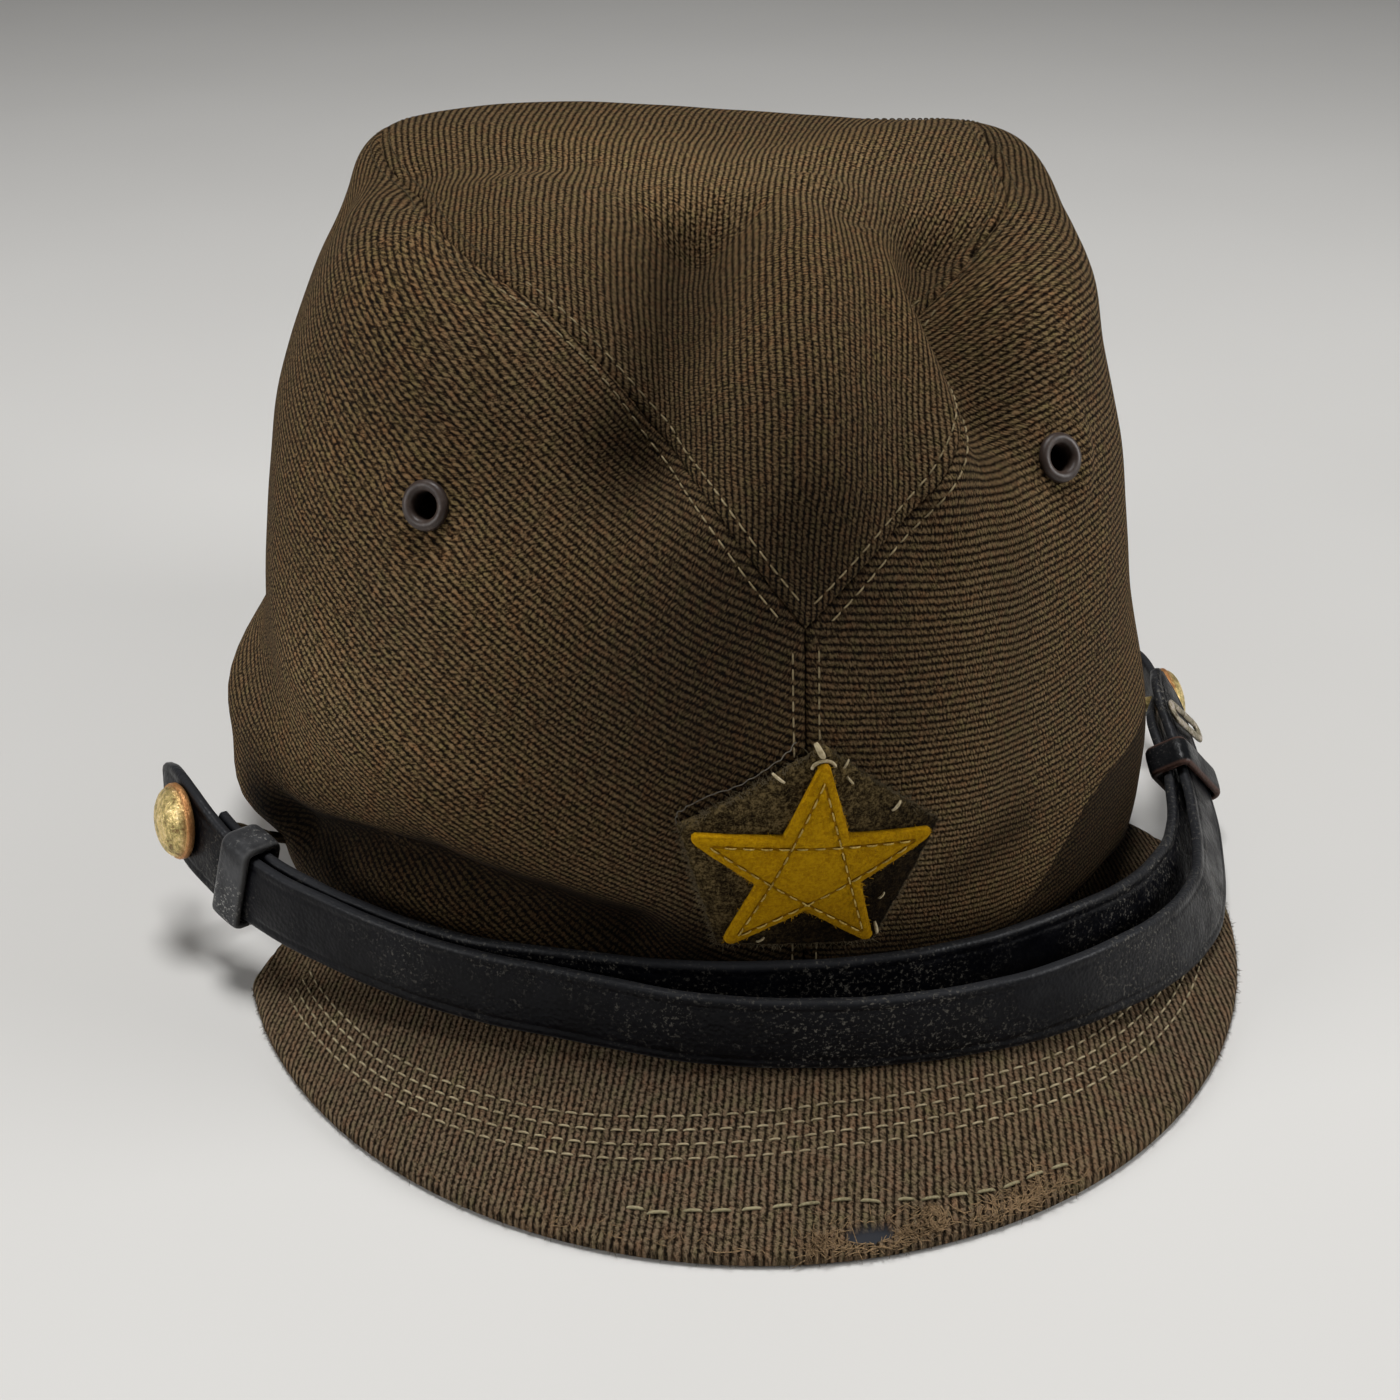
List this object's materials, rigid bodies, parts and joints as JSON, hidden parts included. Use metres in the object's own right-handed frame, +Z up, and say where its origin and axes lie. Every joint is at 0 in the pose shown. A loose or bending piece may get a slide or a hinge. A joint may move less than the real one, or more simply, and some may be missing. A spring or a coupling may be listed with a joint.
{
  "type": "field cap",
  "caption": "Soft woollen field cap with a pointed top panel, a stitched cloth peak, a felt star badge, vent eyelets and a leather chin strap with brass fittings.",
  "frame": {"origin": "middle of the cap's footprint on the surface that it rests on", "axes": "+Z up, the peak points to -Y, and +X is the wearer's left"},
  "size_m": [0.2048, 0.2232, 0.1329],
  "materials": {
    "wool": "ribbed brown wool twill, worn",
    "peak_wool": "ribbed brown wool twill with stitched rows",
    "patch_felt": "dark brown felt",
    "star_felt": "mustard yellow felt",
    "eyelet_enamel": "brown enamel, satin",
    "strap_leather": "black leather, satin and scuffed",
    "keeper_leather": "greyed black leather",
    "worn_brass": "worn brass with a green tarnish"
  },
  "bodies": {
    "root": {"side_panel_right": "wool", "side_panel_left": "wool", "top_panel": "wool", "peak": "peak_wool", "badge_patch": "patch_felt", "badge_star": "star_felt", "eyelet_right": "eyelet_enamel", "eyelet_left": "eyelet_enamel", "strap_outer": "strap_leather", "strap_inner": "strap_leather", "strap_keeper": "strap_leather", "buckle_keeper": "keeper_leather", "buckle": "worn_brass", "button_right": "worn_brass", "button_left": "worn_brass"}
  },
  "joints": []
}
